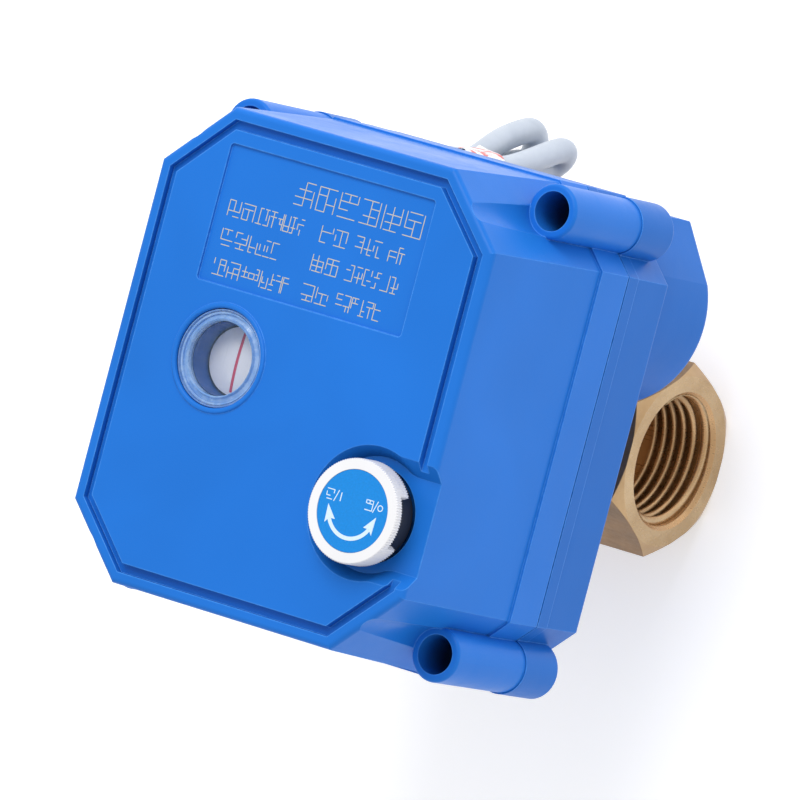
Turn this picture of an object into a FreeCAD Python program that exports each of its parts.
"""Motorized ball valve: a brass DN15 ball valve with a geared electric actuator on its stem.

Units are millimetres. The origin is the centre of the ball, where the flow axis (X) crosses the
stem axis (Z). +Z runs up the stem to the cover's window, +Y is the side where the cable hangs.
The valve is closed as drawn, so the ball's port runs along Y.
"""
import FreeCAD
import Part
import math
import os

V = FreeCAD.Vector
X_AXIS, Y_AXIS, Z_AXIS = V(1, 0, 0), V(0, 1, 0), V(0, 0, 1)

# Housing: an eight-sided box with drafted sides, in a cover and a base
TOP_Z = 84.0  # top plane of the cover
HOUSING_X = 11.7  # centre of the housing, measured from the stem axis
HALF_X, HALF_Y = 31.0, 37.15  # half sizes at the top plane
CORNER = 10.5  # each corner's cut at the top plane
STEP_Z = TOP_Z - 28.1  # faint step round the cover's side
PARTING_Z = TOP_Z - 35.6  # where the cover meets the base
BAND_Z = PARTING_Z - 3.0  # lower edge of the base's lip band
PARTING_GAP = 0.3  # height and depth of the shadow line along the joint
BASE_Z = TOP_Z - 48.0  # underside of the base
UPPER_DRAFT, LIP_GROWTH, LOWER_GROWTH = 1.35, 1.75, 1.62  # growth of the half sizes
WALL = 2.2
ROOF = 2.6
FLOOR = 2.4
TOP_EDGE = 0.9

# Cover details
RIM, GROOVE, GROOVE_DEPTH, PANEL_RISE = 1.82, 1.45, 1.2, 0.13
LABEL_X, LABEL_Y, LABEL_DEPTH = (-19.3, 18.9), (10.65, 31.8), 0.45
WINDOW_R, WINDOW_RING_R, WINDOW_RISE = 7.6, 8.45, 0.5
TUBE_R, TUBE_OUTER_R, TUBE_DROP = 5.65, 7.2, 9.0
LENS_T, LENS_SEAT, SEAL_T = 1.25, 1.5, 0.3

# Housing screws and their bosses
BOSS_X, BOSS_Y = 28.45, 34.4  # from the housing's centre
BOSS_R, BASE_BOSS_R, CHANNEL_R, BOSS_HOLE_R = 4.25, 4.5, 4.0, 3.05
BOSS_TOP_Z = TOP_Z - 16.7
BOSS_END_Z = TOP_Z - 45.0
BOSS_KEEP_R = 4.4  # wall kept round a boss on the inside

# Manual knob and its pocket
KNOB_X, KNOB_Y = 32.5, -16.0
KNOB_R, KNOB_RISE, KNOB_SKIRT = 8.0, 3.7, 3.6
DRUM_R, DRUM_BORE_R = 7.0, 6.0
KNOB_TEETH, KNOB_TOOTH = 120, 0.22
KNOB_TRAVEL = 1.2
NOTCH_HALF_ANGLE = 30.5
POCKET_DEPTH = 2.3
POCKET_R, NECK_HALF = 8.8, 7.2
WELL_DEPTH = 1.4  # ring groove in the pocket's floor that the drum's skirt sinks into
KNOB_SHAFT_R = 2.5
KNOB_FLAT = 1.9  # distance of the shaft's flat from its axis

# Motor bay, a bump under the base
BAY_X, BAY_Y, BAY_R = 25.9, 22.1, 15.7
BAY_Z = TOP_Z - 66.0
BAY_TOP_Y = 37.1
BAY_CORNER_X, BAY_SHOULDER = 34.3, (40.3, 28.4)
BAY_WALL, BAY_EDGE = 2.0, 1.5

# Drive train
MODULE, PRESSURE_ANGLE = 0.8, 20.0
OUTPUT_TEETH, MOTOR_IDLER_TEETH, KNOB_IDLER_TEETH, PINION_TEETH = 38, 20, 21, 12
GEAR_Z, GEAR_T = 53.2, 4.0
ADDENDUM, DEDENDUM, THINNING = 0.85, 1.25, 0.05  # in modules, modules and mm per flank
PLATE_Z, PLATE_T = 50.9, 1.5
SHAFT_R, SHAFT_TOP_Z = 5.0, 66.0
RUN = 0.03  # radial running clearance
PIN_R = 2.0
MOTOR_R, MOTOR_Z, MOTOR_SPLIT_Z = 11.5, 20.4, 38.0
STANDOFFS = ((-12.0, -27.0), (36.0, -27.0), (-12.0, 27.0), (36.5, 3.0))
BOARD_STANDOFFS = ((-11.5, 19.5), (33.0, 27.5), (34.0, -4.0))
BOARD_Z, BOARD_T = 68.0, 1.6
CONNECTOR_X, CONNECTOR_PITCH = (-7.0, 5.0), 2.6
CAM_R, LOBE_R, CAM_T, CAM_Z = 8.5, 11.4, 3.0, (58.5, 62.5)

# Valve, for G 1/2 parallel pipe thread; each port is a plain bore of the thread's major radius
PORT_X = 31.0  # end faces of the valve, from the stem axis
HEX_FLATS = 27.0
THREAD_R, THREAD_END_X = 10.48, 17.5
MOUTH_R = 11.1
THROAT_R = 8.4
BALL_R, BALL_PORT_R = 9.4, 5.0
STEM_R, STEM_SQUARE = 4.0, 5.6
FLANGE_R, FLANGE_Z, FLANGE_TOP = 15.5, 22.0, 26.0
MOUNT_SCREW_R = 11.5  # the mounting screws' circle

# Cable: round, grey, led out under the base and folded in a hank that a paper tag ties
CABLE_R = 2.0
GLAND_X, GLAND_Y, GLAND_TIP_Z = -3.3, 19.7, 28.5
HANK_X, HANK_LOW, HANK_TOP = (-11.4, 0.1), 0.5, 35.4
HANK_INNER_Y, HANK_OUTER_Y = 23.4, 45.6
WAIST_X, WAIST_Y, TAG_Z, TAG_T = (-10.7, -0.9), (25.9, 38.5), (15.0, 23.6), 0.35
CABLE_ROUTE = ((GLAND_X, GLAND_Y, 40.0), (GLAND_X, GLAND_Y, 24.5), (-3.6, 19.4, 12.0), (-3.5, 19.7, 3.2),
               (-3.4, 19.7, -3.5), (-3.4, 22.2, -6.0), (-3.3, 25.6, -6.0), (-3.3, 28.1, -3.5),
               (-3.3, 28.1, HANK_LOW))
TAIL_X, TAIL_Y = -8.3, 28.1  # the cable's far end, at the hank's underside
CORE_R, CORE_TIP_R, CORE_TIP_LEN = 0.5, 0.32, 2.5


def cylinder(x, y, z, radius, height):
    return Part.makeCylinder(radius, height, V(x, y, z), Z_AXIS)


def ring(x, y, z, outer, inner, height):
    """Flat ring with its axis along Z."""
    return cylinder(x, y, z, outer, height).cut(cylinder(x, y, z - 1, inner, height + 2))


def box(x_range, y_range, z_range):
    size = [high - low for low, high in (x_range, y_range, z_range)]
    return Part.makeBox(*size, V(x_range[0], y_range[0], z_range[0]))


def turned(points, x, y):
    """Solid turned about the vertical line through (x, y), from (radius, z) points."""
    wire = Part.makePolygon([V(x + r, y, z) for r, z in points] + [V(x + points[0][0], y, points[0][1])])
    return Part.Face(wire).revolve(V(x, y, 0), Z_AXIS, 360)


def turned_x(points):
    """Solid turned about the flow axis, from (x, radius) points."""
    wire = Part.makePolygon([V(x, 0, r) for x, r in points] + [V(points[0][0], 0, points[0][1])])
    return Part.Face(wire).revolve(V(0, 0, 0), X_AXIS, 360)


def edges_at(shape, z):
    """Edges that lie in the horizontal plane at z."""
    return [e for e in shape.Edges if all(abs(v.Z - z) < 1e-4 for v in e.Vertexes)]


def octagon(growth, z, half_x=HALF_X, half_y=HALF_Y, corner=CORNER):
    """Housing outline at height z with every side moved out by growth."""
    a, b = half_x + growth, half_y + growth
    cut = corner + growth * (2 - math.sqrt(2))
    quarter = ((a, b - cut), (a - cut, b))
    points = []
    for sx, sy in ((1, 1), (-1, 1), (-1, -1), (1, -1)):
        pair = quarter if sx * sy > 0 else quarter[::-1]
        points += [V(HOUSING_X + sx * px, sy * py, z) for px, py in pair]
    return Part.makePolygon(points + points[:1])


def frustum(z_low, growth_low, z_high, growth_high):
    """Eight-sided block between two heights, with drafted sides."""
    return Part.makeLoft([octagon(growth_low, z_low), octagon(growth_high, z_high)], True, True)


def slab(growth, z_low, z_high):
    return frustum(z_low, growth, z_high, growth)


def boss_axes():
    return [(HOUSING_X + sx * BOSS_X, sy * BOSS_Y) for sx in (-1, 1) for sy in (-1, 1)]


def screw(x, y, z, head_r, head_h, shank_r, length):
    """Pan-head screw with a cross recess; z is the underside of its head."""
    head = cylinder(x, y, z, head_r, head_h)
    head = head.makeFillet(0.3 * head_h, edges_at(head, z + head_h))
    recess_w, recess_h = 0.28 * head_r, 0.55 * head_h
    for long_x, long_y in ((1.2, 0.28), (0.28, 1.2)):
        reach_x, reach_y = long_x * head_r / 2, long_y * head_r / 2
        head = head.cut(box((x - reach_x, x + reach_x), (y - reach_y, y + reach_y),
                            (z + head_h - recess_h, z + head_h + recess_w)))
    tip = 0.5 * shank_r
    shank = cylinder(x, y, z - length + tip, shank_r, length - tip)
    point = Part.makeCone(0.5 * shank_r, shank_r, tip, V(x, y, z - length), Z_AXIS)
    return head.fuse([shank, point]).removeSplitter()


def rounded_path(points, arc_share=0.45):
    """Straight runs joined by tangent arcs; returns the wire and the arcs' radii."""
    points = [V(*p) for p in points]
    edges, radii, start = [], [], points[0]
    for before, here, after in zip(points, points[1:], points[2:]):
        into, out = (here - before), (after - here)
        turn = into.getAngle(out)
        reach = arc_share * min(into.Length, out.Length)
        radii.append(reach / math.tan(turn / 2))
        into.normalize()
        out.normalize()
        first, last = here - into * reach, here + out * reach
        to_centre = (out - into).normalize()
        inset = radii[-1] / math.cos(turn / 2) - radii[-1]
        edges.append(Part.LineSegment(start, first).toShape())
        edges.append(Part.Arc(first, here + to_centre * inset, last).toShape())
        start = last
    edges.append(Part.LineSegment(start, points[-1]).toShape())
    return Part.Wire(edges), radii


def tube(points, radius, arc_share=0.45):
    """Round tube along a path of straight runs and arcs."""
    path, radii = rounded_path(points, arc_share)
    heading = V(*points[1]) - V(*points[0])
    section = Part.Wire([Part.makeCircle(radius, V(*points[0]), heading)])
    return path.makePipeShell([section], True, False), path.Length, radii


def flatted_shaft(x, y, z, radius, flat, height):
    """Round bar with one flat, facing +X, at the given distance from its axis."""
    keep = box((x - radius - 1, x + flat), (y - radius - 1, y + radius + 1), (z - 1, z + height + 1))
    return cylinder(x, y, z, radius, height).common(keep)


# ---------------------------------------------------------------- housing

def pocket_outline(radius, half_width, blend, z):
    """Round pocket about the knob with a narrower neck that runs out through the +X side."""
    reach = math.sqrt((radius + blend) ** 2 - (half_width + blend) ** 2)
    touch = radius / (radius + blend)
    end_x = HOUSING_X + HALF_X + 6 - KNOB_X
    middle = math.atan2(half_width + blend, reach)
    mid_angle = (math.pi + middle) / 2 + math.pi / 2

    def at(dx, dy):
        return V(KNOB_X + dx, KNOB_Y + dy, z)

    def side(sign):
        tangent = at(reach * touch, sign * (half_width + blend) * touch)
        foot = at(reach, sign * half_width)
        centre = (reach, sign * (half_width + blend))
        lean = (math.atan2(-(half_width + blend), -reach) - math.pi / 2) / 2
        on_arc = at(centre[0] + blend * math.cos(lean), centre[1] + sign * blend * math.sin(lean))
        return tangent, on_arc, foot

    top, low = side(1), side(-1)
    return Part.Wire([
        Part.LineSegment(at(end_x, half_width), top[2]).toShape(),
        Part.Arc(top[2], top[1], top[0]).toShape(),
        Part.Arc(top[0], at(-radius, 0), low[0]).toShape(),
        Part.Arc(low[0], low[1], low[2]).toShape(),
        Part.LineSegment(low[2], at(end_x, -half_width)).toShape(),
        Part.LineSegment(at(end_x, -half_width), at(end_x, half_width)).toShape(),
    ])


def knob_pocket():
    """Pocket with sloping walls, steeper round the knob than along the neck."""
    rise, floor_z = POCKET_DEPTH + 0.3, TOP_Z - POCKET_DEPTH
    floor = pocket_outline(POCKET_R, NECK_HALF, 5.0, floor_z)
    brim = pocket_outline(POCKET_R + 0.6 * rise, NECK_HALF + rise, 3.0, floor_z + rise)
    well = ring(KNOB_X, KNOB_Y, floor_z - WELL_DEPTH, DRUM_R + 0.35, DRUM_BORE_R - 0.3, WELL_DEPTH + 0.1)
    return Part.makeLoft([floor, brim], True, True).fuse(well)


def cover_cavity():
    """Inside of the cover, with material kept round the bosses, the pocket and the window."""
    roof_z = TOP_Z - ROOF
    cavity = frustum(PARTING_Z - 1, LIP_GROWTH - WALL, STEP_Z, LIP_GROWTH - WALL)
    cavity = cavity.fuse(frustum(STEP_Z, UPPER_DRAFT - WALL, roof_z, -WALL))
    for x, y in boss_axes():
        cavity = cavity.cut(cylinder(x, y, PARTING_Z - 2, BOSS_KEEP_R, TOP_Z))
    pad_z = TOP_Z - POCKET_DEPTH - 3.2
    pad = cylinder(KNOB_X, KNOB_Y, pad_z, 12.5, 10)
    pad = pad.fuse(box((KNOB_X, KNOB_X + 14), (KNOB_Y - 11, KNOB_Y + 11), (pad_z, TOP_Z)))
    return cavity.cut([pad, cylinder(0, 0, TOP_Z - TUBE_DROP, TUBE_OUTER_R, TUBE_DROP)])


def label_recess():
    x_range = [HOUSING_X + x for x in LABEL_X]
    shape = box(x_range, LABEL_Y, (TOP_Z + PANEL_RISE - LABEL_DEPTH, TOP_Z + 2))
    corners = [e for e in shape.Edges if abs(e.Vertexes[0].Z - e.Vertexes[-1].Z) > 1]
    return shape.makeFillet(0.6, corners)


def window_ring():
    """Low rounded ring round the window, and the material of its seat."""
    inner, outer = WINDOW_R, WINDOW_RING_R
    shape = ring(0, 0, TOP_Z - 1, outer, inner, 1 + WINDOW_RISE)
    return shape.makeFillet(0.35, edges_at(shape, TOP_Z + WINDOW_RISE))


def top_cover():
    body = frustum(STEP_Z, UPPER_DRAFT, TOP_Z, 0)
    body = body.makeFillet(TOP_EDGE, edges_at(body, TOP_Z))
    body = body.fuse(slab(LIP_GROWTH, PARTING_Z, STEP_Z))
    bosses = [cylinder(x, y, PARTING_Z, BOSS_R, BOSS_TOP_Z - PARTING_Z) for x, y in boss_axes()]
    body = body.fuse([b.makeFillet(0.55, edges_at(b, BOSS_TOP_Z)) for b in bosses])
    panel = slab(-RIM - GROOVE, TOP_Z - 1, TOP_Z + PANEL_RISE)
    groove = slab(-RIM, TOP_Z - GROOVE_DEPTH, TOP_Z + 1).cut(slab(-RIM - GROOVE, TOP_Z - 3, TOP_Z + 2))
    body = body.fuse([panel, window_ring()]).cut([groove, knob_pocket(), label_recess(), cover_cavity()])
    tools = [cylinder(0, 0, TOP_Z - 12, TUBE_R, 20), cylinder(0, 0, TOP_Z - LENS_SEAT, WINDOW_R, 5)]
    tools.append(cylinder(KNOB_X, KNOB_Y, TOP_Z - 9, KNOB_SHAFT_R + RUN, 12))
    tools.append(cylinder(KNOB_X, KNOB_Y, TOP_Z - POCKET_DEPTH - 1.1, 4.5, 3))
    for x, y in boss_axes():
        tools.append(cylinder(x, y, BOSS_TOP_Z, CHANNEL_R, 30))
        tools.append(cylinder(x, y, PARTING_Z + 3, BOSS_HOLE_R, 30))
        tools.append(cylinder(x, y, PARTING_Z - 1, 1.7, 6))
    return body.cut(tools)


def bay_outline(inset, z):
    """D-shaped outline of the motor bay: an arc round the motor, squared off towards +Y."""
    sx, sy = BAY_SHOULDER
    start = math.atan2(sy - BAY_Y, sx - BAY_X)
    low_mid = start / 2 - math.pi / 2
    shoulder = V(BAY_X + BAY_R * math.cos(start), BAY_Y + BAY_R * math.sin(start), z)
    under = V(BAY_X + BAY_R * math.cos(low_mid), BAY_Y + BAY_R * math.sin(low_mid), z)
    left = V(BAY_X - BAY_R, BAY_Y, z)
    corner = V(BAY_X - BAY_R, BAY_TOP_Y, z)
    crest = V(BAY_CORNER_X, BAY_TOP_Y, z)
    wire = Part.Wire([
        Part.Arc(shoulder, under, left).toShape(),
        Part.LineSegment(left, corner).toShape(),
        Part.LineSegment(corner, crest).toShape(),
        Part.LineSegment(crest, shoulder).toShape(),
    ])
    return wire.makeOffset2D(-inset) if inset else wire


def base_shell():
    body = frustum(BASE_Z, LOWER_GROWTH, BAND_Z, LOWER_GROWTH)
    body = body.makeFillet(1.0, edges_at(body, BASE_Z))
    body = body.fuse(slab(LIP_GROWTH, BAND_Z, PARTING_Z - PARTING_GAP))
    body = body.fuse(slab(LIP_GROWTH - PARTING_GAP, PARTING_Z - 1, PARTING_Z))
    bay = Part.Face(bay_outline(0, BAY_Z)).extrude(V(0, 0, BASE_Z + 1 - BAY_Z))
    bay = bay.makeFillet(BAY_EDGE, edges_at(bay, BAY_Z))
    collar = cylinder(0, 0, FLANGE_TOP, FLANGE_R, BASE_Z + 1 - FLANGE_TOP)
    bosses = [cylinder(x, y, BOSS_END_Z, BASE_BOSS_R, PARTING_Z - BOSS_END_Z) for x, y in boss_axes()]
    bosses = [b.makeFillet(0.6, edges_at(b, BOSS_END_Z)) for b in bosses]
    body = body.fuse([bay, collar] + bosses).removeSplitter()
    cavity = frustum(BASE_Z + FLOOR, LOWER_GROWTH - WALL, PARTING_Z + 1, LOWER_GROWTH - WALL)
    cavity = cavity.cut([cylinder(x, y, BASE_Z, BOSS_KEEP_R, 20) for x, y in boss_axes()])
    bay_hollow = Part.Face(bay_outline(BAY_WALL, BAY_Z + BAY_WALL)).extrude(V(0, 0, BASE_Z - BAY_Z + 4))
    gasket_seat = slab(-0.25, PARTING_Z - 0.5, PARTING_Z + 1).cut(slab(-1.05, PARTING_Z - 1, PARTING_Z + 2))
    gasket_seat = gasket_seat.cut([cylinder(x, y, PARTING_Z - 1, 2.6, 4) for x, y in boss_axes()])
    tools = [cavity, bay_hollow, gasket_seat, cylinder(0, 0, FLANGE_TOP - 1, 7.0, 30)]
    for x, y in boss_axes():
        tools.append(cylinder(x, y, BOSS_END_Z + 2, 1.5, 20))
    for x, y in mount_screw_places():
        tools.append(cylinder(x, y, FLANGE_TOP - 1, 2.2, 20))
        tools.append(cylinder(x, y, 33.5, 3.6, 20))
    tools.append(cylinder(GLAND_X, GLAND_Y, BASE_Z - 1, 2.9, FLOOR + 2))
    return body.cut(tools)


def housing_gasket():
    seal = slab(-0.35, PARTING_Z - 0.5, PARTING_Z).cut(slab(-0.95, PARTING_Z - 1, PARTING_Z + 1))
    return seal.cut([cylinder(x, y, PARTING_Z - 1, 2.7, 4) for x, y in boss_axes()])


def housing_screws():
    return Part.makeCompound([screw(x, y, PARTING_Z + 3, 2.7, 2.0, 1.48, 10.0) for x, y in boss_axes()])


def window_lens():
    lens = cylinder(0, 0, TOP_Z - LENS_SEAT + SEAL_T, WINDOW_R - 0.05, LENS_T)
    return lens.makeFillet(0.3, edges_at(lens, TOP_Z - LENS_SEAT + SEAL_T + LENS_T))


def window_seal():
    return ring(0, 0, TOP_Z - LENS_SEAT, WINDOW_R - 0.1, TUBE_R + 0.1, SEAL_T)


# ---------------------------------------------------------------- manual knob

def knob_cap():
    """Cap with a fine knurl, hollow below, its skirt cut short over a stretch towards +X."""
    top, skirt_z = TOP_Z + KNOB_RISE, TOP_Z + KNOB_RISE - KNOB_SKIRT
    step = 2 * math.pi / KNOB_TEETH
    notch_top = top - 1.4
    outline = []
    for tooth in range(KNOB_TEETH):
        for part_of_step, radius in ((0, KNOB_R), (0.5, KNOB_R - KNOB_TOOTH)):
            angle = (tooth + part_of_step) * step
            outline.append(V(KNOB_X + radius * math.cos(angle), KNOB_Y + radius * math.sin(angle), skirt_z))
    knurl = Part.Face(Part.makePolygon(outline + outline[:1])).extrude(V(0, 0, KNOB_SKIRT))
    trim = turned([(0, skirt_z - 1), (KNOB_R + 1, skirt_z - 1), (KNOB_R + 1, top - 1.3),
                   (KNOB_R - 0.2, top), (0, top)], KNOB_X, KNOB_Y)
    cap = knurl.common(trim)
    cap = cap.cut([cylinder(KNOB_X, KNOB_Y, skirt_z - 1, DRUM_R, KNOB_SKIRT - 0.2),
                   cylinder(KNOB_X, KNOB_Y, top - 0.35, 6.3, 1)])
    wedge_len = 2 * KNOB_R
    notch_x = wedge_len * math.cos(math.radians(NOTCH_HALF_ANGLE))
    notch_y = wedge_len * math.sin(math.radians(NOTCH_HALF_ANGLE))
    axis = V(KNOB_X, KNOB_Y, skirt_z - 1)
    wedge = Part.makePolygon([axis, axis + V(notch_x, -notch_y, 0), axis + V(notch_x, notch_y, 0), axis])
    notch = Part.Face(wedge).extrude(V(0, 0, notch_top - skirt_z + 1))
    return cap.cut(notch)


def knob_core():
    """Black drum inside the cap, pressed on the shaft, its skirt reaching the pocket's floor."""
    low, high, skirt_z = TOP_Z - 0.7, TOP_Z + KNOB_RISE - 1.2, TOP_Z - 2.1
    drum = cylinder(KNOB_X, KNOB_Y, low, DRUM_R, high - low)
    skirt = ring(KNOB_X, KNOB_Y, skirt_z, DRUM_R, DRUM_BORE_R, low - skirt_z + 0.5)
    hollow = ring(KNOB_X, KNOB_Y, low - 1, DRUM_BORE_R, 3.8, 2.2)
    return drum.fuse(skirt).cut([hollow, cylinder(KNOB_X, KNOB_Y, low - 1, KNOB_SHAFT_R, 3.2)])


def knob_label():
    return cylinder(KNOB_X, KNOB_Y, TOP_Z + KNOB_RISE - 0.35, 6.25, 0.3)


def knob_shaft():
    low, high = PLATE_Z + 0.3, TOP_Z + 1.5
    lower = flatted_shaft(KNOB_X, KNOB_Y, low, KNOB_SHAFT_R, KNOB_FLAT, 14)
    upper = cylinder(KNOB_X, KNOB_Y, low + 14, KNOB_SHAFT_R, high - low - 14)
    groove = ring(KNOB_X, KNOB_Y, TOP_Z - 6.4, 4, 2.0, 0.8)
    return lower.fuse(upper).cut(groove)


def knob_clip():
    clip = ring(KNOB_X, KNOB_Y, TOP_Z - 6.4, 4.6, 2.0, 0.8)
    return clip.cut(box((KNOB_X + 1, KNOB_X + 6), (KNOB_Y - 1.4, KNOB_Y + 1.4), (TOP_Z - 7, TOP_Z - 5)))


def knob_seal():
    return ring(KNOB_X, KNOB_Y, TOP_Z - POCKET_DEPTH - 1.1, 4.5, KNOB_SHAFT_R + RUN, 1.0)


def knob_spring():
    """Compression spring between the knob's gear and the clip, as short runs and arcs on a helix."""
    wire_r, coil_r, turns, per_turn = 0.35, 3.7, 6, 14
    low, high = 61.05 + wire_r, TOP_Z - 6.45 - wire_r
    route = []
    for step in range(turns * per_turn + 1):
        angle = 2 * math.pi * step / per_turn
        route.append((KNOB_X + coil_r * math.cos(angle), KNOB_Y + coil_r * math.sin(angle),
                      low + (high - low) * step / (turns * per_turn)))
    return tube(route, wire_r)[0]


# ---------------------------------------------------------------- gears

def involute_point(base_r, radius, start_angle):
    """Point at a radius on an involute that leaves the base circle at start_angle."""
    pressure = math.acos(min(1.0, base_r / radius))
    angle = start_angle + math.tan(pressure) - pressure
    return radius * math.cos(angle), radius * math.sin(angle)


def gear(x, y, teeth, phase, z=GEAR_Z, height=GEAR_T):
    """Spur gear; one tooth's centre line points along phase (radians)."""
    pitch_r = MODULE * teeth / 2
    base_r = pitch_r * math.cos(math.radians(PRESSURE_ANGLE))
    tip_r, root_r = pitch_r + ADDENDUM * MODULE, pitch_r - DEDENDUM * MODULE
    flank_r = max(base_r, root_r)
    pressure = math.radians(PRESSURE_ANGLE)
    half_tooth = math.pi / (2 * teeth) - THINNING / pitch_r + math.tan(pressure) - pressure
    edges, first, last = [], None, None
    for tooth in range(teeth):
        centre = phase + 2 * math.pi * tooth / teeth

        def spot(radius, sign):
            px, py = involute_point(base_r, radius, -half_tooth)
            c, s = math.cos(centre), math.sin(centre)
            py = -sign * py
            return V(x + c * px - s * py, y + s * px + c * py, z)

        def polar(radius, angle):
            return V(x + radius * math.cos(angle), y + radius * math.sin(angle), z)

        middle_r = (flank_r + tip_r) / 2
        low_side = [spot(r, -1) for r in (flank_r, middle_r, tip_r)]
        high_side = [spot(r, 1) for r in (tip_r, middle_r, flank_r)]
        foot = [polar(root_r, centre + sign * half_tooth) for sign in (-1, 1)]
        if root_r < base_r:
            low_side_start, high_side_end = foot
        else:
            low_side_start, high_side_end = low_side[0], high_side[2]
        if last is not None:
            gap = polar(root_r, centre - math.pi / teeth)
            edges.append(Part.Arc(last, gap, low_side_start).toShape())
        else:
            first = low_side_start
        if root_r < base_r:
            edges.append(Part.LineSegment(low_side_start, low_side[0]).toShape())
        edges.append(Part.Arc(*low_side).toShape())
        edges.append(Part.Arc(low_side[2], polar(tip_r, centre), high_side[0]).toShape())
        edges.append(Part.Arc(*high_side).toShape())
        if root_r < base_r:
            edges.append(Part.LineSegment(high_side[2], high_side_end).toShape())
        last = high_side_end
    edges.append(Part.Arc(last, polar(root_r, centre + math.pi / teeth), first).toShape())
    return Part.Face(Part.Wire(edges)).extrude(V(0, 0, height))


def idler_place(target_x, target_y, idler_teeth, side):
    """Centre of an idler that meshes with the output gear and with a pinion at the target."""
    near = MODULE * (OUTPUT_TEETH + idler_teeth) / 2
    far = MODULE * (idler_teeth + PINION_TEETH) / 2
    span = math.hypot(target_x, target_y)
    along = (near ** 2 - far ** 2 + span ** 2) / (2 * span)
    off = side * math.sqrt(near ** 2 - along ** 2)
    ux, uy = target_x / span, target_y / span
    return along * ux - off * uy, along * uy + off * ux


def meshing_phase(x, y, phase, teeth, other_x, other_y, other_teeth):
    """Phase of the second gear so that its gap meets a tooth of the first gear."""
    heading = math.atan2(other_y - y, other_x - x)
    pitch_share = (heading - phase) * teeth / (2 * math.pi)
    back = heading + math.pi
    return back - (0.5 - pitch_share) * 2 * math.pi / other_teeth


MOTOR_IDLER = idler_place(BAY_X, BAY_Y, MOTOR_IDLER_TEETH, 1)
KNOB_IDLER = idler_place(KNOB_X, KNOB_Y, KNOB_IDLER_TEETH, -1)
OUTPUT_PHASE = 0.0
MOTOR_IDLER_PHASE = meshing_phase(0, 0, OUTPUT_PHASE, OUTPUT_TEETH, *MOTOR_IDLER, MOTOR_IDLER_TEETH)
KNOB_IDLER_PHASE = meshing_phase(0, 0, OUTPUT_PHASE, OUTPUT_TEETH, *KNOB_IDLER, KNOB_IDLER_TEETH)
MOTOR_PHASE = meshing_phase(*MOTOR_IDLER, MOTOR_IDLER_PHASE, MOTOR_IDLER_TEETH, BAY_X, BAY_Y, PINION_TEETH)
KNOB_PHASE = meshing_phase(*KNOB_IDLER, KNOB_IDLER_PHASE, KNOB_IDLER_TEETH, KNOB_X, KNOB_Y, PINION_TEETH)


def output_gear():
    body = gear(0, 0, OUTPUT_TEETH, OUTPUT_PHASE).fuse(cylinder(0, 0, GEAR_Z, 8.0, 5.1))
    holes = [cylinder(11 * math.cos(a), 11 * math.sin(a), GEAR_Z - 1, 1.8, 8)
             for a in [math.radians(60 * k + 30) for k in range(6)]]
    return body.cut(holes + [cylinder(0, 0, GEAR_Z - 1, SHAFT_R, 12)])


def idler_gear(place, teeth, phase):
    body = gear(*place, teeth, phase)
    recess = ring(*place, GEAR_Z + GEAR_T - 0.8, 5.6, 3.8, 2)
    return body.cut([recess, cylinder(*place, GEAR_Z - 1, PIN_R + RUN, 8)])


def idler_pins():
    return Part.makeCompound([cylinder(*place, PLATE_Z, PIN_R, 7.4) for place in (MOTOR_IDLER, KNOB_IDLER)])


def idler_clips():
    clips = []
    for x, y in (MOTOR_IDLER, KNOB_IDLER):
        clip = ring(x, y, GEAR_Z + GEAR_T + 0.15, 3.6, PIN_R, 0.5)
        clips.append(clip.cut(box((x, x + 5), (y - 1, y + 1), (GEAR_Z, GEAR_Z + 9))))
    return Part.makeCompound(clips)


def motor_pinion():
    body = gear(BAY_X, BAY_Y, PINION_TEETH, MOTOR_PHASE)
    return body.cut(flatted_shaft(BAY_X, BAY_Y, GEAR_Z - 1, 2.0, 1.5, 8))


def motor_shaft():
    low_z = MOTOR_SPLIT_Z + 8
    return flatted_shaft(BAY_X, BAY_Y, low_z, 2.0, 1.5, GEAR_Z + GEAR_T + 0.4 - low_z)


def knob_gear():
    """Pinion on the knob's shaft: a journal below, a spring seat above, and a flatted bore."""
    body = gear(KNOB_X, KNOB_Y, PINION_TEETH, KNOB_PHASE)
    journal = cylinder(KNOB_X, KNOB_Y, PLATE_Z - 1.0, 3.4, GEAR_Z - PLATE_Z + 1.0)
    hub = cylinder(KNOB_X, KNOB_Y, GEAR_Z, 3.8, 61.0 - GEAR_Z)
    seat = cylinder(KNOB_X, KNOB_Y, 60.2, 4.4, 0.8)
    bore = flatted_shaft(KNOB_X, KNOB_Y, PLATE_Z - 3, KNOB_SHAFT_R + RUN, KNOB_FLAT + RUN, 20)
    return body.fuse([journal, hub, seat]).cut(bore)


def output_shaft():
    """Shaft with a square socket for the valve's stem and a socket on top for the indicator."""
    half = STEM_SQUARE / 2 + 0.02
    body = cylinder(0, 0, FLANGE_TOP + 0.2, SHAFT_R, SHAFT_TOP_Z - FLANGE_TOP - 0.2)
    body = body.makeChamfer(0.4, edges_at(body, SHAFT_TOP_Z))
    socket = box((-half, half), (-half, half), (FLANGE_TOP - 1, 31.2))
    return body.cut([socket, cylinder(0, 0, SHAFT_TOP_Z - 5, 2.5, 8)])


def cam(z, lobe_angle):
    """Round cam with one lobe that points along lobe_angle (degrees)."""
    disc = cylinder(0, 0, z, CAM_R, CAM_T)
    lobe = Part.makeCylinder(LOBE_R, CAM_T, V(0, 0, z), Z_AXIS, 34)
    lobe.rotate(V(0, 0, 0), Z_AXIS, lobe_angle - 17)
    return disc.fuse(lobe).cut(cylinder(0, 0, z - 1, SHAFT_R, CAM_T + 2)).removeSplitter()


LINE_HALF = 0.25  # half of the coloured line's width


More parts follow.
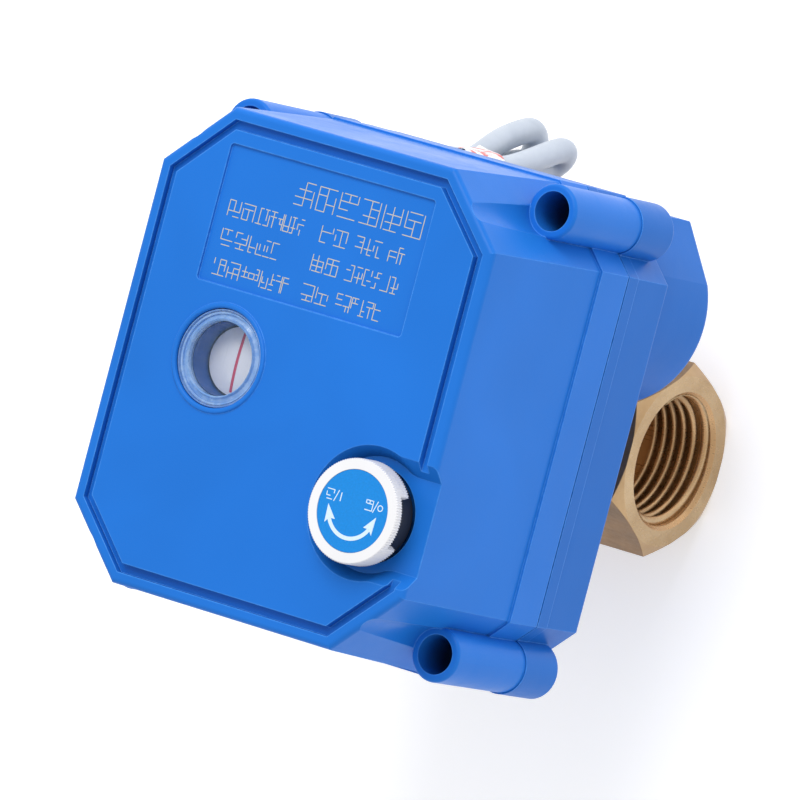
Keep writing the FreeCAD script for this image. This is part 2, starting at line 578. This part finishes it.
def position_indicator():
    """White indicator: a post in the shaft's socket and a low dome under the window."""
    rim_z, crown_z, radius = TOP_Z - 5.4, TOP_Z - 4.95, 5.3
    profile = Part.Wire([
        Part.LineSegment(V(0, 0, rim_z - 2.2), V(radius, 0, rim_z - 2.2)).toShape(),
        Part.LineSegment(V(radius, 0, rim_z - 2.2), V(radius, 0, rim_z)).toShape(),
        Part.Arc(V(radius, 0, rim_z), V(radius / 2, 0, rim_z + 0.75 * (crown_z - rim_z)),
                 V(0, 0, crown_z)).toShape(),
        Part.LineSegment(V(0, 0, crown_z), V(0, 0, rim_z - 2.2)).toShape(),
    ])
    dome = Part.Face(profile).revolve(V(0, 0, 0), Z_AXIS, 360)
    post = cylinder(0, 0, SHAFT_TOP_Z - 4.5, 2.5, rim_z - 2 - SHAFT_TOP_Z + 4.5)
    collar = cylinder(0, 0, SHAFT_TOP_Z, 3.4, rim_z - 2 - SHAFT_TOP_Z)
    slot = box((-LINE_HALF, LINE_HALF), (-4.8, 4.8), (rim_z - 0.4, crown_z + 1))
    return dome.fuse([post, collar]).cut(slot)


def indicator_line():
    """Coloured line set in the dome, across the flow while the valve is closed."""
    low, high = TOP_Z - 5.8, TOP_Z - 5.0
    line = box((-LINE_HALF, LINE_HALF), (-4.8, 4.8), (low, high))
    cap = Part.makeSphere(31.0, V(0, 0, high - 31.0 + 0.02))
    return line.common(cap)


# ---------------------------------------------------------------- frame and electrics inside

def gear_plate():
    plate = Part.Face(octagon(0, PLATE_Z, 28.3, 31.5, 10.5)).extrude(V(0, 0, PLATE_T))
    tools = [cylinder(0, 0, PLATE_Z - 1, 6.5, 4), cylinder(BAY_X, BAY_Y, PLATE_Z - 1, 4.0, 4),
             cylinder(KNOB_X, KNOB_Y, PLATE_Z - 1, 3.4 + RUN, 4)]
    tools += [cylinder(*place, PLATE_Z - 1, PIN_R, 4) for place in (MOTOR_IDLER, KNOB_IDLER)]
    tools += [cylinder(x, y, PLATE_Z - 1, 1.6, 4) for x, y in STANDOFFS]
    tools += [cylinder(x, y, PLATE_Z - 1, 1.0, 4) for x, y in BOARD_STANDOFFS]
    tools += [cylinder(x, y, PLATE_Z - 1, 1.3, 4) for x, y in motor_screw_places()]
    return plate.cut(tools)


def plate_standoffs():
    low = BASE_Z + FLOOR
    posts = [ring(x, y, low, 2.5, 1.2, PLATE_Z - low) for x, y in STANDOFFS]
    return Part.makeCompound(posts)


def plate_screws():
    return Part.makeCompound([screw(x, y, PLATE_Z + PLATE_T, 2.4, 1.5, 1.2, 8) for x, y in STANDOFFS])


def output_bushes():
    lower = ring(0, 0, FLANGE_TOP + 1.6, 7.0, SHAFT_R + RUN, 10.4)
    upper = ring(0, 0, PLATE_Z - 0.5, 6.5, SHAFT_R + RUN, PLATE_T + 1.1)
    flange = ring(0, 0, PLATE_Z + PLATE_T, 8.0, SHAFT_R + RUN, 0.6)
    return Part.makeCompound([lower, upper.fuse(flange)])


def shaft_seal():
    return ring(0, 0, FLANGE_TOP, 7.0, SHAFT_R + RUN, 1.6)


def motor_screw_places():
    angles = (math.radians(75), math.radians(255))
    return [(BAY_X + 8 * math.cos(a), BAY_Y + 8 * math.sin(a)) for a in angles]


def motor_can():
    height = MOTOR_SPLIT_Z - MOTOR_Z
    body = cylinder(BAY_X, BAY_Y, MOTOR_Z, MOTOR_R, height)
    body = body.makeFillet(1.2, edges_at(body, MOTOR_Z))
    band = ring(BAY_X, BAY_Y, MOTOR_Z + 6, MOTOR_R + 1, MOTOR_R - 0.3, 1.0)
    return body.cut(band)


def motor_gearhead():
    height = PLATE_Z - MOTOR_SPLIT_Z
    body = cylinder(BAY_X, BAY_Y, MOTOR_SPLIT_Z, MOTOR_R, height)
    nose = cylinder(BAY_X, BAY_Y, PLATE_Z, 3.9, PLATE_T)
    tools = [cylinder(BAY_X, BAY_Y, MOTOR_SPLIT_Z + 7.5, 2.0 + RUN, 30)]
    tools += [cylinder(x, y, PLATE_Z - 4, 1.0, 5) for x, y in motor_screw_places()]
    return body.fuse(nose).cut(tools)


def motor_screws():
    return Part.makeCompound([screw(x, y, PLATE_Z + PLATE_T, 1.6, 0.6, 1.0, 4.5)
                              for x, y in motor_screw_places()])


def circuit_board():
    board = box((-14, 36.5), (-8.5, 31), (BOARD_Z, BOARD_Z + BOARD_T))
    tools = [cylinder(0, 0, BOARD_Z - 1, 8.2, 4)]
    tools += [cylinder(x, y, BOARD_Z - 1, 1.2, 4) for x, y in BOARD_STANDOFFS]
    corners = [e for e in board.Edges if abs(e.Vertexes[0].Z - e.Vertexes[-1].Z) > 1]
    return board.makeFillet(4.0, corners).cut(tools)


def board_components():
    top = BOARD_Z + BOARD_T
    relay = box((10, 25), (14, 26), (top, top + 8.5))
    connector = box(CONNECTOR_X, (22, 29), (top, top + 7))
    pockets = []
    for k in range(4):
        left = CONNECTOR_X[0] + 1 + CONNECTOR_PITCH * k
        pockets.append(box((left, left + 1.8), (23.5, 28), (top + 2, top + 8)))
    capacitors = [cylinder(x, y, top, 3.0, 9.0) for x, y in ((31.0, 14.0), (31.0, 22.0))]
    capacitors = [c.makeFillet(0.4, edges_at(c, top + 9.0)) for c in capacitors]
    chips = [box((12, 17), (0, 4), (top, top + 1.5)), box((21, 29), (3, 9), (top, top + 1.8))]
    chips += [box((4 + 3.5 * k, 6.2 + 3.5 * k), (9.6, 10.9), (top, top + 0.7)) for k in range(4)]
    return Part.makeCompound([relay, connector.cut(pockets)] + capacitors + chips)


def board_standoffs():
    low = PLATE_Z + PLATE_T
    posts = [ring(x, y, low, 2.2, 1.0, BOARD_Z - low) for x, y in BOARD_STANDOFFS]
    feet = [cylinder(x, y, PLATE_Z, 1.0, PLATE_T + 1) for x, y in BOARD_STANDOFFS]
    return Part.makeCompound([post.fuse(foot) for post, foot in zip(posts, feet)])


def board_screws():
    screws = [screw(x, y, BOARD_Z + BOARD_T, 1.9, 1.2, 0.98, 6) for x, y in BOARD_STANDOFFS]
    return Part.makeCompound(screws)


SWITCH_Y, SWITCH_X = (13.4, 19.4), (-6.4, 6.4)
LEVER_HINGE = (-5.6, 12.4)


def limit_switches():
    """Two snap-action switch bodies, one over the other, hung from the board by their pins."""
    bodies = []
    for z in CAM_Z:
        body = box(SWITCH_X, SWITCH_Y, (z - 0.5, z + 3.4))
        ears = box((LEVER_HINGE[0] - 0.9, LEVER_HINGE[0] + 0.9), (LEVER_HINGE[1] - 0.9, SWITCH_Y[0]),
                   (z - 0.5, z + 3.4))
        gap = box((LEVER_HINGE[0] - 2, LEVER_HINGE[0] + 2), (LEVER_HINGE[1] - 2, SWITCH_Y[0] - 0.05),
                  (z - 0.1, z + 3.0))
        body = body.fuse(ears.cut(gap))
        body = body.cut([cylinder(*LEVER_HINGE, z - 1, 0.33, 6),
                         box((1.4, 3.0), (SWITCH_Y[0] - 1, SWITCH_Y[0] + 1.6), (z + 0.6, z + 2.4))])
        bodies.append(body)
    pins = [box((x, x + 0.5), (18.0, 18.8), (CAM_Z[1] + 3.4, BOARD_Z)) for x in (-5.0, -0.25, 4.5)]
    spacer = box((-6.0, 6.0), (15, 19), (CAM_Z[0] + 3.4, CAM_Z[1] - 0.5))
    stack = bodies[0].fuse([spacer, bodies[1]] + pins)
    return stack.removeSplitter()


def switch_lever(z):
    """Spring-steel lever on a small pin, with a rounded nose that faces the cam."""
    hx, hy = LEVER_HINGE
    blade = box((hx - 0.5, 6.0), (hy - 0.15, hy + 0.15), (z + 0.2, z + 2.8))
    eye = cylinder(hx, hy, z + 0.2, 0.5, 2.6)
    pin = cylinder(hx, hy, z - 0.4, 0.3, 3.7)
    nose = cylinder(1.0, hy - 0.05, z + 0.2, 0.6, 2.6)
    return blade.fuse([eye, pin, nose]).removeSplitter()


def inner_leads():
    """Cores from the cable's inner end to the board's connector, and two from the motor."""
    leads = []
    for k in range(4):
        x, socket_x = GLAND_X - 0.9 + 0.6 * k, CONNECTOR_X[0] + 1.9 + CONNECTOR_PITCH * k
        leads.append(tube(((x, GLAND_Y, CABLE_ROUTE[0][2]), (x, GLAND_Y + 0.5, 43.6),
                           (x, 33.7, 45.5 + 0.5 * k),
                           (x + 0.2, 34.0, 60), (socket_x, 34.2, 76), (socket_x, 29.5, 79.2),
                           (socket_x, 26.0, 75.6)), 0.35)[0])
    for k in range(2):
        x = BAY_X - 3 + 6 * k
        leads.append(tube(((x, BAY_Y + MOTOR_R + 0.05, MOTOR_Z + 5), (x, 34.4, MOTOR_Z + 6),
                           (x, 34.4, 48), (x + 0.6, 34.2, 72), (x, 31.5, 74.4),
                           (x - 0.5, 29.4, 70.2)), 0.35)[0])
    return Part.makeCompound(leads)


# ---------------------------------------------------------------- valve

def port_tools(direction):
    """Cutters for one port: the bore and its countersunk mouth."""
    depth = MOUTH_R - THREAD_R
    bore = turned_x([(direction * THREAD_END_X, 0), (direction * THREAD_END_X, THREAD_R),
                     (direction * (PORT_X + 2), THREAD_R), (direction * (PORT_X + 2), 0)])
    mouth = turned_x([(direction * (PORT_X - depth), 0), (direction * (PORT_X - depth), THREAD_R),
                      (direction * (PORT_X + 1), MOUTH_R + 1), (direction * (PORT_X + 1), 0)])
    return [bore, mouth]


def hex_end(x_low, x_high, face_sign):
    """Hexagon with flats up and down, its outer corners turned off at 30 degrees."""
    corner_r = HEX_FLATS / math.sqrt(3)
    points = [V(x_low, corner_r * math.cos(math.radians(60 * k)), corner_r * math.sin(math.radians(60 * k)))
              for k in range(6)]
    bar = Part.Face(Part.makePolygon(points + points[:1])).extrude(V(x_high - x_low, 0, 0))
    face_r = HEX_FLATS / 2 + 0.1
    rise = (corner_r - face_r + 1) * math.tan(math.radians(30))
    outer_x = x_high if face_sign > 0 else x_low
    inner_x = x_low if face_sign > 0 else x_high
    keep = turned_x([(outer_x, 0), (outer_x, face_r), (outer_x - face_sign * rise, corner_r + 1),
                     (inner_x + face_sign * 0.7 * rise, corner_r + 1), (inner_x, face_r), (inner_x, 0)])
    return bar.common(keep)


def mount_screw_places():
    angles = [math.radians(45 + 90 * k) for k in range(4)]
    return [(MOUNT_SCREW_R * math.cos(a), MOUNT_SCREW_R * math.sin(a)) for a in angles]


def valve_body():
    """Forged body: hexagon at +X, round barrel, and a bonnet with a round flange for the actuator."""
    barrel = turned_x([(-17.5, 0), (-17.5, 12.4), (-15.5, 13.2), (9, 13.2), (14.5, 12.0), (17, 12.0),
                       (17, 0)])
    bonnet = turned([(0, 0), (9.6, 0), (9.6, 13), (8.6, 17), (8.6, FLANGE_Z - 1.5), (10.5, FLANGE_Z),
                     (FLANGE_R, FLANGE_Z), (FLANGE_R, FLANGE_TOP), (0, FLANGE_TOP)], 0, 0)
    body = barrel.fuse([bonnet, hex_end(16, PORT_X, 1)])
    chamber = turned_x([(-19, 0), (-19, 11.6), (-8.8, 11.6), (-8.8, 9.6), (8.8, 9.6), (8.8, 0)])
    throat = turned_x([(8, 0), (8, 6.2), (15, 6.2), (THREAD_END_X + 0.1, THROAT_R),
                       (THREAD_END_X + 0.1, 0)])
    stem_bore = cylinder(0, 0, 5, STEM_R + RUN, 25).fuse(cylinder(0, 0, 5, 5.7, 6.65))
    tools = [chamber, throat, stem_bore] + port_tools(1)
    tools += [cylinder(x, y, FLANGE_Z - 1, 2.0, 8) for x, y in mount_screw_places()]
    return body.cut(tools)


def valve_end_piece():
    """Screwed-in tail with the second port, which holds the far seat."""
    spigot = turned_x([(-20, 0), (-20, 11.55), (-8.8, 11.55), (-8.8, 0)])
    body = hex_end(-PORT_X, -17.5, -1).fuse(spigot)
    throat = turned_x([(-8, 0), (-8, 6.2), (-15, 6.2), (-THREAD_END_X - 0.1, THROAT_R),
                       (-THREAD_END_X - 0.1, 0)])
    return body.cut([throat] + port_tools(-1))


def ball():
    body = Part.makeSphere(BALL_R)
    port = Part.makeCylinder(BALL_PORT_R, 30, V(0, -15, 0), Y_AXIS)
    slot = box((-12, 12), (-1.6, 1.6), (6.3, 12))
    return body.cut([port, slot])


def ball_seats():
    seats = []
    for direction in (-1, 1):
        seat = turned_x([(direction * 5.2, BALL_PORT_R + 0.3), (direction * 5.2, 9.5),
                         (direction * 8.75, 9.5), (direction * 8.75, BALL_PORT_R + 0.3)])
        seats.append(seat.cut(Part.makeSphere(BALL_R + RUN)))
    return Part.makeCompound(seats)


def stem():
    half = STEM_SQUARE / 2
    body = turned([(0, 9.55), (5.5, 9.55), (5.5, 11.0), (STEM_R, 11.0), (STEM_R, 14.0), (3.1, 14.0),
                   (3.1, 15.8), (STEM_R, 15.8), (STEM_R, 18.0), (3.1, 18.0), (3.1, 19.8), (STEM_R, 19.8),
                   (STEM_R, FLANGE_TOP - 0.2), (0, FLANGE_TOP - 0.2)], 0, 0)
    square = box((-half, half), (-half, half), (FLANGE_TOP - 1, 31)).common(
        cylinder(0, 0, FLANGE_TOP - 2, STEM_R - 0.1, 12))
    tang = box((-3.8, 3.8), (-1.5, 1.5), (6.4, 10)).common(cylinder(0, 0, 0, 5.4, 12))
    return body.fuse([square, tang]).removeSplitter()


def stem_o_rings():
    rings = [Part.makeTorus(3.1 + 0.44, 0.44, V(0, 0, z), Z_AXIS) for z in (14.9, 18.9)]
    return Part.makeCompound(rings)


def stem_washer():
    return ring(0, 0, 11.0, 5.5, STEM_R, 0.62)


def mounting_screws():
    return Part.makeCompound([screw(x, y, 33.5, 3.3, 2.6, 1.98, 11.0) for x, y in mount_screw_places()])


# ---------------------------------------------------------------- cable

def cable_gland():
    """Rubber grommet in the base's floor, with a short tapered sleeve round the cable."""
    flange_z, inner_z = BASE_Z - 1.4, BASE_Z + FLOOR
    return turned([(CABLE_R, GLAND_TIP_Z), (2.7, GLAND_TIP_Z), (3.3, flange_z), (4.0, flange_z + 0.3),
                   (4.0, BASE_Z), (2.85, BASE_Z), (2.85, inner_z), (3.7, inner_z), (3.5, inner_z + 1.0),
                   (CABLE_R, inner_z + 1.0)], GLAND_X, GLAND_Y)


def cable():
    solid, length, radii = tube(CABLE_ROUTE, CABLE_R)
    print("cable tube", round(length, 1), "mm, radii", [round(r, 1) for r in radii])
    print("cable volume", round(solid.Volume, 1), "section x length",
          round(math.pi * CABLE_R ** 2 * length, 1))
    return solid


def waist(growth, z_low, z_high):
    """Rounded block of the hank's width where the tag holds it, grown sideways."""
    block = box((WAIST_X[0] - growth, WAIST_X[1] + growth), (WAIST_Y[0] - growth, WAIST_Y[1] + growth),
                (z_low, z_high))
    corners = [e for e in block.Edges if abs(e.Vertexes[0].Z - e.Vertexes[-1].Z) > 1]
    return block.makeFillet(1.6 + growth, corners)


def cable_hank():
    """Outer shape of the folded cable: an upright bundle whose lower folds splay out towards +Y."""
    points = [(HANK_INNER_Y, 31.5), (HANK_INNER_Y + 2.1, HANK_TOP), (36.8, HANK_TOP), (38.0, 34.0),
              (38.4, 26.5), (38.7, TAG_Z[1]), (38.9, TAG_Z[0]), (44.4, 8.4), (HANK_OUTER_Y, 4.6),
              (45.0, 0.6), (42.8, -2.3), (39.4, -2.6), (31.0, HANK_LOW), (25.8, HANK_LOW), (25.8, 19.0),
              (HANK_INNER_Y, 27.0)]
    wire = Part.makePolygon([V(HANK_X[0], y, z) for y, z in points + points[:1]])
    body = Part.Face(wire).extrude(V(HANK_X[1] - HANK_X[0], 0, 0))
    around = box((HANK_X[0] - 1, HANK_X[1] + 1), (HANK_INNER_Y - 1, HANK_OUTER_Y + 1), TAG_Z)
    return body.cut(around.cut(waist(0, TAG_Z[0] - 1, TAG_Z[1] + 1)))


def cable_tag():
    """Paper band wrapped round the hank."""
    low, high = TAG_Z
    return waist(TAG_T, low, high).cut(waist(0, low - 1, high + 1))


def core_routes():
    """Paths of the four stripped cores that fan out from the cable's far end."""
    routes = []
    for k in range(4):
        x, y = TAIL_X + (0.65 if k % 2 else -0.65), TAIL_Y + (0.65 if k > 1 else -0.65)
        lean = 1.5 * (k - 1.5)
        routes.append(((x, y, HANK_LOW), (x, y, HANK_LOW - 3), (x + 0.5 * lean, y, HANK_LOW - 6),
                       (x + 1.1 * lean, y - 0.4, HANK_LOW - 9)))
    return routes


def wire_ends():
    return Part.makeCompound([tube(route, CORE_R)[0] for route in core_routes()])


def wire_tips():
    """Bare tinned ends of the cores."""
    tips = []
    for route in core_routes():
        heading = (V(*route[-1]) - V(*route[-2])).normalize()
        tips.append(Part.makeCylinder(CORE_TIP_R, CORE_TIP_LEN, V(*route[-1]), heading))
    return Part.makeCompound(tips)


PARTS = {
    "top_cover": top_cover,
    "base_shell": base_shell,
    "housing_gasket": housing_gasket,
    "housing_screws": housing_screws,
    "window_lens": window_lens,
    "window_seal": window_seal,
    "knob_cap": knob_cap,
    "knob_core": knob_core,
    "knob_label": knob_label,
    "knob_shaft": knob_shaft,
    "knob_clip": knob_clip,
    "knob_seal": knob_seal,
    "knob_spring": knob_spring,
    "knob_gear": knob_gear,
    "output_gear": output_gear,
    "idler_gear_motor": lambda: idler_gear(MOTOR_IDLER, MOTOR_IDLER_TEETH, MOTOR_IDLER_PHASE),
    "idler_gear_knob": lambda: idler_gear(KNOB_IDLER, KNOB_IDLER_TEETH, KNOB_IDLER_PHASE),
    "idler_pins": idler_pins,
    "idler_clips": idler_clips,
    "motor_pinion": motor_pinion,
    "motor_shaft": motor_shaft,
    "motor_can": motor_can,
    "motor_gearhead": motor_gearhead,
    "motor_screws": motor_screws,
    "output_shaft": output_shaft,
    "closed_cam": lambda: cam(CAM_Z[0], 90),
    "open_cam": lambda: cam(CAM_Z[1], 0),
    "position_indicator": position_indicator,
    "indicator_line": indicator_line,
    "gear_plate": gear_plate,
    "plate_standoffs": plate_standoffs,
    "plate_screws": plate_screws,
    "output_bushes": output_bushes,
    "shaft_seal": shaft_seal,
    "circuit_board": circuit_board,
    "board_components": board_components,
    "board_standoffs": board_standoffs,
    "board_screws": board_screws,
    "limit_switches": limit_switches,
    "closed_switch_lever": lambda: switch_lever(CAM_Z[0]),
    "open_switch_lever": lambda: switch_lever(CAM_Z[1]),
    "inner_leads": inner_leads,
    "valve_body": valve_body,
    "valve_end_piece": valve_end_piece,
    "ball": ball,
    "ball_seats": ball_seats,
    "stem": stem,
    "stem_o_rings": stem_o_rings,
    "stem_washer": stem_washer,
    "mounting_screws": mounting_screws,
    "cable_gland": cable_gland,
    "cable": cable,
    "cable_hank": cable_hank,
    "cable_tag": cable_tag,
    "wire_ends": wire_ends,
    "wire_tips": wire_tips,
}

os.makedirs("parts", exist_ok=True)
for name, make in PARTS.items():
    shape = make()
    if not shape.isValid():
        print("not valid:", name)
    shape.exportStep(os.path.join("parts", name + ".step"))
    print(name, len(shape.Solids), "solid(s)", round(shape.Volume, 1), "mm3")
